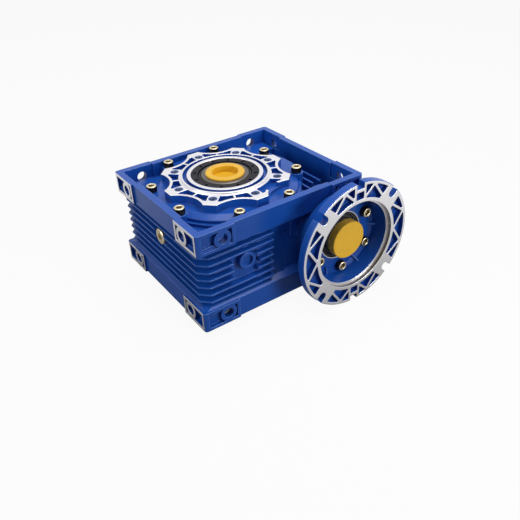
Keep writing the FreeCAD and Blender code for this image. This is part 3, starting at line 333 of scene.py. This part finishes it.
# %% Finishes on the nodes
by_slot = {"painted_casting": paint_housing, "painted_cover": paint_cover, "painted_flange": paint_flange,
           "zinc_screws": zinc, "zinc_plug": zinc, "seal_rubber": rubber, "bearing_steel": steel,
           "bearing_cage": steel, "spring_steel": dark_steel, "copper_washer": copper, "shaft_steel": iron,
           "worm_steel": steel, "bronze": bronze, "yellow_plastic": plastic}
slot_of = {row["node"]: row["material_slot"] for row in frame["record"]["subparts"]}
for name, obj in nodes.items():
    obj.data.materials.clear()
    obj.data.materials.append(by_slot[slot_of[name]])
nodes["input_cap"].data.materials[0] = lit_cap_plastic
print("finishes on", len(nodes), "nodes")

# %% [markdown]
# The small turned details are grids of points: a profile is a path in radius and height, and it
# is carried round an axis. Two numbers name each point, the step along the path and the turn,
# so numpy can work out every point at once and the faces join neighbours on the grid.

# %% Surfaces of revolution
def grid_mesh(name, points):
    """Mesh from points[copy, step, turn]; faces join neighbours, and the last turn meets the first.

    The face of step i and turn j has the corners (i, j), (i+1, j), (i+1, j+1), (i, j+1), so it faces
    the way given by the path direction crossed with the turning direction. Its UV is the turn and the step.
    """
    copies, steps, turns = points.shape[:3]
    index = np.arange(copies * steps * turns).reshape(copies, steps, turns)
    near, reflection_shade_fade = index[:, :-1], index[:, 1:]
    quads = np.stack([near, reflection_shade_fade, np.roll(reflection_shade_fade, -1, axis=2), np.roll(near, -1, axis=2)], axis=-1).reshape(-1, 4)
    mesh = bpy.data.meshes.new(name)
    mesh.vertices.add(index.size)
    mesh.vertices.foreach_set("co", points.reshape(-1).astype(np.float32))
    mesh.loops.add(quads.size)
    mesh.loops.foreach_set("vertex_index", quads.reshape(-1).astype(np.int32))
    mesh.polygons.add(len(quads))
    mesh.polygons.foreach_set("loop_start", np.arange(0, quads.size, 4, dtype=np.int32))
    step = np.broadcast_to(np.arange(steps - 1)[None, :, None], near.shape)
    turn = np.broadcast_to(np.arange(turns)[None, None, :], near.shape)
    u = np.stack([turn, turn, turn + 1, turn + 1], axis=-1) / turns
    v = np.stack([step, step + 1, step + 1, step], axis=-1) / (steps - 1)
    layer = mesh.uv_layers.new(name="path")
    layer.data.foreach_set("uv", np.stack([u, v], axis=-1).reshape(-1).astype(np.float32))
    mesh.update(calc_edges=True)
    mesh.validate()
    return mesh


def surface(name, points, body, mat):
    """A piece from a grid of points, with its finish, that rides on a body and fills a material slot."""
    mesh = grid_mesh(name, points)
    mesh.materials.append(mat)
    piece = bpy.data.objects.new(name, mesh)
    bpy.context.scene.collection.objects.link(piece)
    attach(piece, body)
    print(name, "faces:", len(mesh.polygons))
    return piece


def around(radii, heights, turns):
    """Points of a revolved path: radii and heights may vary with the turn; result is [step, turn, 3]."""
    angle = np.linspace(0.0, 2 * np.pi, turns, endpoint=False)
    r, z = np.broadcast_arrays(radii, heights)
    r, z = np.broadcast_to(r, (len(r), turns)), np.broadcast_to(z, (len(z), turns))
    return np.stack([r * np.cos(angle), r * np.sin(angle), z], axis=-1)


def ring_of(points, circle, count, first, lift):
    """Copies of a revolved piece on a circle, at first degrees and then evenly."""
    turn = np.radians(first + 360.0 * np.arange(count) / count)
    centre = np.stack([circle * np.cos(turn), circle * np.sin(turn), np.full(count, lift)], axis=-1)
    return points[None] + centre[:, None, None, :]


print("surface helpers ready")

# %% [markdown]
# A socket head screw is turned, knurled by rollers and punched with a hexagon. Its path starts in
# the socket, comes out over the rim and runs down the side, where the radius ripples with the
# turn; inside the socket the radius is that of a hexagon instead of a circle. The zinc stays bright
# on the rim, while the socket and the knurled side are painted dark as painted shade; the finish splits them
# by the step on the path, which has 13 steps.

# %% Knurled socket screws
HEAD_RADIUS, HEAD_HEIGHT, SOCKET_HALF, SHANK_RADIUS = 0.0065, 0.008, 0.003, 0.004
KNURL_DEPTH = 0.00032
PATH_STEPS = 13
COVER_CIRCLE, COVER_SEAT, COVER_LENGTH = 0.0912, 0.058, 0.020
DISH_CIRCLE, DISH_SEAT, DISH_LENGTH = 0.043, 0.115, 0.025


def screw_finish(name, socket_end, side_start, side_end):
    """Yellow zinc, bright on the rim, with painted shade: brownish dark in the socket and near black on the
    knurled side.
    """
    mat, shader = new_material(name)
    step = path_uv(mat)[1]
    side = between(mat, step, side_start / PATH_STEPS, side_end / PATH_STEPS)
    inside = below(mat, step, socket_end / PATH_STEPS)
    noise = cloud(mat, object_coords(mat), scale=260.0, detail=3.0)
    bright = mix(mat, noise, (0.52, 0.44, 0.27, 1.0), (0.72, 0.65, 0.48, 1.0))
    # painted shade on the knurled side
    dark = mix(mat, noise, (0.030, 0.027, 0.024, 1.0), (0.075, 0.066, 0.055, 1.0))
    # painted shade in the socket, a brownish dark
    socket_shade = mix(mat, noise, (0.085, 0.060, 0.022, 1.0), (0.17, 0.125, 0.05, 1.0))
    join(mat, mix(mat, inside, mix(mat, side, bright, dark), socket_shade), shader.inputs["Base Color"])
    join(mat, blend_value(mat, noise, 0.24, 0.42), shader.inputs["Roughness"])
    shader.inputs["Metallic"].default_value = 1.0
    return mat


def socket_head(head, height, socket, shank, length, ridges=36, turns=144):
    """Screw about Z with its seat at zero: hexagon in, rim, knurled side, seat, shank.

    The hexagon's radius is half its width over the cosine of the turn from the nearest flat, and the
    knurl takes a cosine wave of the turn off the head's radius.
    """
    angle = np.linspace(0.0, 2 * np.pi, turns, endpoint=False)
    hexagon = socket / np.cos(np.mod(angle + np.pi / 6, np.pi / 3) - np.pi / 6)
    plain = np.ones(turns)
    knurl = head - KNURL_DEPTH * (0.5 - 0.5 * np.cos(ridges * angle))
    bottom = 0.45 * height
    rows = [(0.0 * plain, bottom), (hexagon, bottom), (hexagon, height - 0.0005),
            (hexagon + 0.0004, height), ((head - 0.0011) * plain, height),
            ((head - 0.0004) * plain, height - 0.0003), ((head - 0.0001) * plain, height - 0.0009),
            (knurl, height - 0.0013), (knurl, 0.0012), ((head - 0.0001) * plain, 0.0008),
            ((head - 0.0004) * plain, 0.0), (shank * plain, 0.0), (shank * plain, -length),
            (0.0 * plain, -length)]
    radii = np.stack([r for r, z in rows])
    heights = np.array([z for r, z in rows])[:, None]
    return around(radii, heights, turns)


screw_metal = screw_finish("knurled_zinc", socket_end=2.6, side_start=5.2, side_end=11.0)
cover_screw = socket_head(HEAD_RADIUS, HEAD_HEIGHT, SOCKET_HALF, SHANK_RADIUS, COVER_LENGTH)
on_cover = ring_of(cover_screw, COVER_CIRCLE, count=8, first=22.5, lift=COVER_SEAT)
cover_screws = surface("cover_screws_dressed", on_cover, "casing", screw_metal)
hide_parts("cover_screws")
dish_screw = socket_head(HEAD_RADIUS, HEAD_HEIGHT, SOCKET_HALF, SHANK_RADIUS, DISH_LENGTH)
upright = ring_of(dish_screw, DISH_CIRCLE, count=6, first=30.0, lift=DISH_SEAT)
in_dish = np.stack([upright[..., 0] + WORM_X, -upright[..., 2], upright[..., 1]], axis=-1)
flange_screws = surface("flange_screws_dressed", in_dish, "casing", screw_metal)
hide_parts("flange_screws")

# %% [markdown]
# The shaft seal's face carries a ring of short moulded ticks. The surface is a flat ring with two
# low beads that drops into the groove at the shaft. The ticks are marked in its material from
# the same turn number. The rubber has no gloss, so that they show by their colour alone.

# %% Seal face
TICK_COUNT, FIRST_TICK, TICK_WIDTH = 12, 0.63, 0.16
TICK_START, TICK_END, INNER_SHADE = 0.36, 0.80, 0.12
SEAL_INNER, SEAL_OUTER, SEAL_TOP = 0.0324, 0.0417, 0.06953
SEAL_STEPS, SEAL_TURNS = 49, 192
INNER_BEAD, OUTER_BEAD, BEAD_WIDTH, BEAD_HEIGHT = 0.0334, 0.0409, 0.0004, 0.00016
DROP_DEPTH, DROP_WIDTH = 0.0014, 0.0003


def seal_finish(name):
    """Dark rubber with a ring of short moulded ticks and a black inner edge painted as the shade of the
    groove at the shaft, found from the ring's own UV.
    """
    mat, shader = new_material(name)
    turn, step = path_uv(mat)
    counted = maths(mat, "SUBTRACT", maths(mat, "MULTIPLY", turn, float(TICK_COUNT)), FIRST_TICK)
    on_tick = below(mat, maths(mat, "FRACT", counted), TICK_WIDTH)
    tick = maths(mat, "MULTIPLY", between(mat, step, TICK_START, TICK_END), on_tick)
    # the ticks are moulded marks; the black inner band is painted shade for the groove at the shaft
    dark = maths(mat, "MAXIMUM", tick, below(mat, step, INNER_SHADE))
    noise = cloud(mat, object_coords(mat), scale=320.0, detail=3.0)
    face = mix(mat, noise, (0.034, 0.033, 0.038, 1.0), (0.052, 0.050, 0.057, 1.0))
    join(mat, mix(mat, dark, face, (0.001, 0.001, 0.001, 1.0)), shader.inputs["Base Color"])
    join(mat, blend_value(mat, noise, 0.45, 0.62), shader.inputs["Roughness"])
    shader.inputs["Specular IOR Level"].default_value = 0.0
    return mat


def hump(radii, middle, width):
    """Bell curve in the radius, 1 at its middle."""
    return np.exp(-((radii - middle) / width) ** 2)


radii = np.linspace(SEAL_INNER, SEAL_OUTER, SEAL_STEPS)
bead = BEAD_HEIGHT * (hump(radii, INNER_BEAD, BEAD_WIDTH) + hump(radii, OUTER_BEAD, BEAD_WIDTH))
fall = DROP_DEPTH * hump(radii, SEAL_INNER, DROP_WIDTH)
face = around(radii[:, None], (SEAL_TOP + bead - fall)[:, None], SEAL_TURNS)
surface("seal_face", face[None], "casing", seal_finish("ticked_rubber"))

# %% [markdown]
# The eight tapped holes show their threads. On a thread the radius depends on the height and the
# turn together: a triangle wave of height over pitch minus the turn gives a right-hand helix.

# %% Tapped holes
THREAD_TURNS, THREAD_STEPS, THREAD_PITCH = 48, 60, 0.0015
THREAD_RADIUS, THREAD_DEPTH = 0.00422, 0.00065
THREAD_FOOT, THREAD_TOP = 0.0590, 0.0678
angle = np.linspace(0.0, 2 * np.pi, THREAD_TURNS, endpoint=False)
heights = np.linspace(THREAD_FOOT, THREAD_TOP, THREAD_STEPS)[:, None]
wave = np.mod(heights / THREAD_PITCH - angle / (2 * np.pi), 1.0)
radii = THREAD_RADIUS - THREAD_DEPTH * (1.0 - np.abs(2.0 * wave - 1.0))
thread = around(radii, heights, THREAD_TURNS)
in_holes = ring_of(thread, HOLE_CIRCLE, count=8, first=0.0, lift=0.0)
surface("tapped_threads", in_holes, "casing", shaded_thread_metal)

# %% [markdown]
# The photograph was taken from the front left, a little above the cover. The camera below was
# fitted to the corners of the frames and the rim of the motor flange, so its numbers are three
# angles, three distances and a lens.

# %% Camera
AZIMUTH, ELEVATION, ROLL = math.radians(-34.007), math.radians(34.231), math.radians(-2.549)
ASIDE, LIFTED, DISTANCE = 0.04062, -0.050169, 0.744756
FOCAL_PIXELS, PHOTO_PIXELS = 571.622, 520.0
level = Vector((math.cos(AZIMUTH), math.sin(AZIMUTH), 0.0))
outward = Vector((math.sin(AZIMUTH), -math.cos(AZIMUTH), 0.0))
back = outward * math.cos(ELEVATION) + Vector((0.0, 0.0, math.sin(ELEVATION)))
rise = back.cross(level)
right = level * math.cos(ROLL) + rise * math.sin(ROLL)
up = rise * math.cos(ROLL) - level * math.sin(ROLL)
camera_data = bpy.data.cameras.new("camera")
camera_data.sensor_width = 36.0
camera_data.lens = camera_data.sensor_width * FOCAL_PIXELS / PHOTO_PIXELS
camera_data.clip_start = 0.01
camera = bpy.data.objects.new("camera", camera_data)
bpy.context.scene.collection.objects.link(camera)
place = Matrix((right, up, back)).transposed().to_4x4()
place.translation = right * ASIDE + up * LIFTED + back * DISTANCE
camera.matrix_world = place
bpy.context.scene.camera = camera
print("camera at", [round(v, 3) for v in place.translation], "lens", round(camera_data.lens, 2))

# %% [markdown]
# The floor is pale and plain. The motor flange reaches lower than the housing, so the reducer
# leans on the flange's rim and the lower spigot, and the floor is tilted by that small angle.

# %% Floor
FLANGE_REACH, FLANGE_Y = 0.08255, -0.145
SPIGOT_REACH, SPIGOT_Y = 0.0705, 0.055
SLOPE = (FLANGE_REACH - SPIGOT_REACH) / (SPIGOT_Y - FLANGE_Y)
FLOOR_HALF, FLOOR_GAP = 6.0, 0.0003


def floor_height(y):
    """Height of the tilted floor at y: a slope just under the flange's rim and the lower spigot."""
    return SLOPE * (y - SPIGOT_Y) - SPIGOT_REACH - FLOOR_GAP


sides = FLOOR_HALF * np.array([(-1, -1), (1, -1), (1, 1), (-1, 1)])
corners = np.column_stack([sides, floor_height(sides[:, 1])])
floor_mesh = bpy.data.meshes.new("floor")
floor_mesh.from_pydata(corners.tolist(), [], [(0, 1, 2, 3)])
floor = bpy.data.objects.new("floor", floor_mesh)
bpy.context.scene.collection.objects.link(floor)
print("floor tilted by", round(math.degrees(math.atan(SLOPE)), 2), "degrees")

# %% [markdown]
# For the camera the floor is mostly plain white paper, with a soft shadow left on it. Right under
# the housing it is ordinary paper, so that the holes of the lower frame look into the dark, and
# in reflections the white fades in with the distance from the part, so the paper near the part shows painted
# shade in reflections, standing for the part's own shade.
# Light that bounces off the floor sees a mid grey, so that the sides of the part stay deep.

# %% Floor paper
WHITE = (1.0, 1.0, 1.0, 1.0)
PAPER_DEEP = (0.50, 0.50, 0.50, 1.0)
PAPER_PALE = (0.54, 0.54, 0.54, 1.0)
BOUNCE_GREY = (0.20, 0.20, 0.20, 1.0)
HOUSING_MIDDLE, HOUSING_HALF_X, HOUSING_HALF_Y = 0.016, 0.104, 0.082
SHADE_FADE_PER_METRE, WHITE_SHARE, HAIR = 2.6, 0.93, 0.0001
paper, paper_shader = new_material("pale_floor")
coords = object_coords(paper)
fx, fy = parts_of(paper, coords)[:2]
look = add(paper, "ShaderNodeLightPath").outputs
straight = maths(paper, "MAXIMUM", look["Is Camera Ray"], look["Is Transmission Ray"])
pale = mix(paper, cloud(paper, coords, scale=40.0, detail=2.0), PAPER_DEEP, PAPER_PALE)
join(paper, mix(paper, straight, BOUNCE_GREY, pale), paper_shader.inputs["Base Color"])
paper_shader.inputs["Roughness"].default_value = 0.9
from_middle = maths(paper, "ABSOLUTE", maths(paper, "SUBTRACT", fx, HOUSING_MIDDLE))
out_x = maths(paper, "MAXIMUM", maths(paper, "SUBTRACT", from_middle, HOUSING_HALF_X), 0.0)
out_y = maths(paper, "MAXIMUM", maths(paper, "SUBTRACT", maths(paper, "ABSOLUTE", fy), HOUSING_HALF_Y), 0.0)
away = radius(paper, out_x, out_y)
# painted shade in reflections: near the part the reflected floor loses its white
reflection_shade_fade = maths(paper, "MINIMUM", maths(paper, "MULTIPLY", away, SHADE_FADE_PER_METRE), 1.0)
direct = maths(paper, "MULTIPLY", straight, above(paper, away, HAIR))
mirrored = maths(paper, "MULTIPLY", look["Is Glossy Ray"], reflection_shade_fade)
share = maths(paper, "MULTIPLY", maths(paper, "MAXIMUM", direct, mirrored), WHITE_SHARE)
glow = add(paper, "ShaderNodeEmission", Color=WHITE, Strength=1.0).outputs[0]
shown = add(paper, "ShaderNodeMixShader", i0=share, i1=paper_shader.outputs[0], i2=glow).outputs[0]
join(paper, shown, paper.node_tree.nodes["Material Output"].inputs["Surface"])
floor_mesh.materials.append(paper)
print("floor paper:", paper.name)

# %% [markdown]
# Three soft boxes, above, in front and on the left, light the part in a white room. Camera, glossy
# and transmitted rays see the room as plain white, while other rays get a softer level, so that
# the paint keeps its own colour.

# %% Light
ROOM_LEVEL = (0.06, 0.062, 0.066, 1.0)


def soft_box(name, at, size, power):
    """A square area lamp at a point, facing the part."""
    data = bpy.data.lights.new(name, "AREA")
    data.shape = "SQUARE"
    data.size = size
    data.energy = power
    lamp = bpy.data.objects.new(name, data)
    lamp.location = at
    lamp.rotation_euler = (-Vector(at)).to_track_quat("-Z", "Y").to_euler()
    bpy.context.scene.collection.objects.link(lamp)


soft_box("key", at=(0.22, -0.15, 1.2), size=1.15, power=18.0)
soft_box("front", at=(0.4, -1.25, 0.4), size=0.5, power=9.5)
soft_box("left", at=(-1.3, 0.1, 0.6), size=0.6, power=8.0)
world = bpy.data.worlds.new("room")
bpy.context.scene.world = world
world.use_nodes = True
ray = add(world, "ShaderNodeLightPath").outputs
mirror_or_eye = maths(world, "MAXIMUM", ray["Is Camera Ray"], ray["Is Glossy Ray"])
plain_white = maths(world, "MAXIMUM", mirror_or_eye, ray["Is Transmission Ray"])
room = world.node_tree.nodes["Background"]
join(world, mix(world, plain_white, ROOM_LEVEL, WHITE), room.inputs["Color"])
room.inputs["Strength"].default_value = 1.0
bpy.context.scene.view_settings.view_transform = "Standard"
